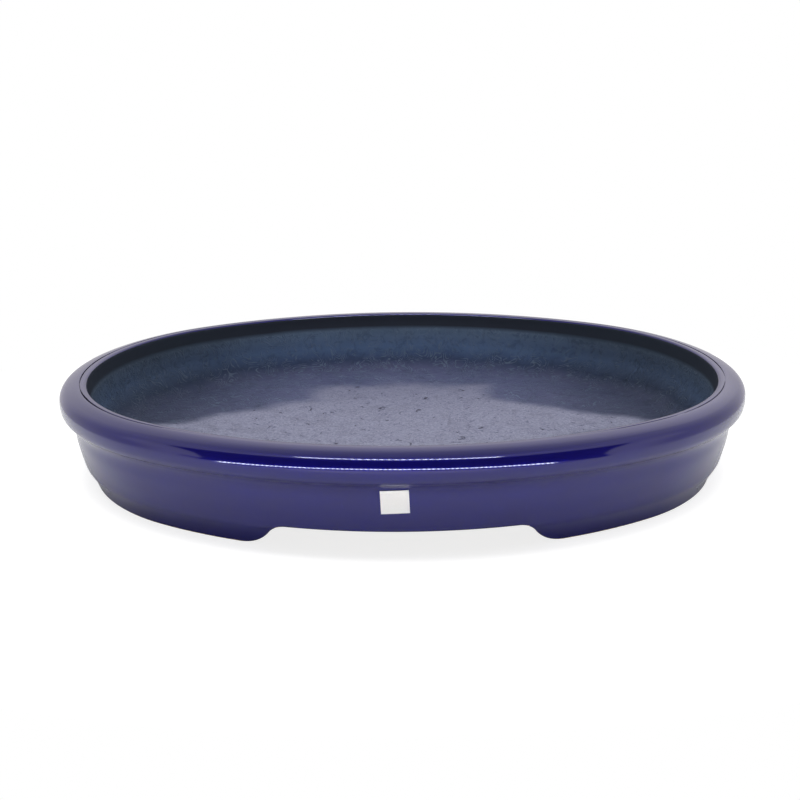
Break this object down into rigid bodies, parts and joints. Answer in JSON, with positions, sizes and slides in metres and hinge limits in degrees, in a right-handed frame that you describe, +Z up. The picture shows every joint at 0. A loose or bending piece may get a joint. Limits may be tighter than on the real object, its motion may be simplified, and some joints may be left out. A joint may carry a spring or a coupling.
{
  "type": "bowl vase",
  "caption": "Shallow oval glazed ceramic bowl for low flower arrangements, with a thick rolled rim, a flat floor and two broad feet that lift it off the table.",
  "frame": {"origin": "centre of the footprint, on the plane of the soles", "axes": "+Z up, X along the long axis of the oval, -Y towards the side that carries the label"},
  "size_m": [0.38, 0.2868, 0.0545],
  "materials": {
    "clay": "matte",
    "glaze_out": "gloss",
    "glaze_in": "gloss",
    "paper": "matte"
  },
  "bodies": {
    "root": {"floor_slab": "clay", "bowl_wall": "clay", "rolled_rim": "clay", "left_foot": "clay", "right_foot": "clay", "outer_glaze": "glaze_out", "inner_glaze": "glaze_in", "label": "paper"}
  },
  "joints": []
}
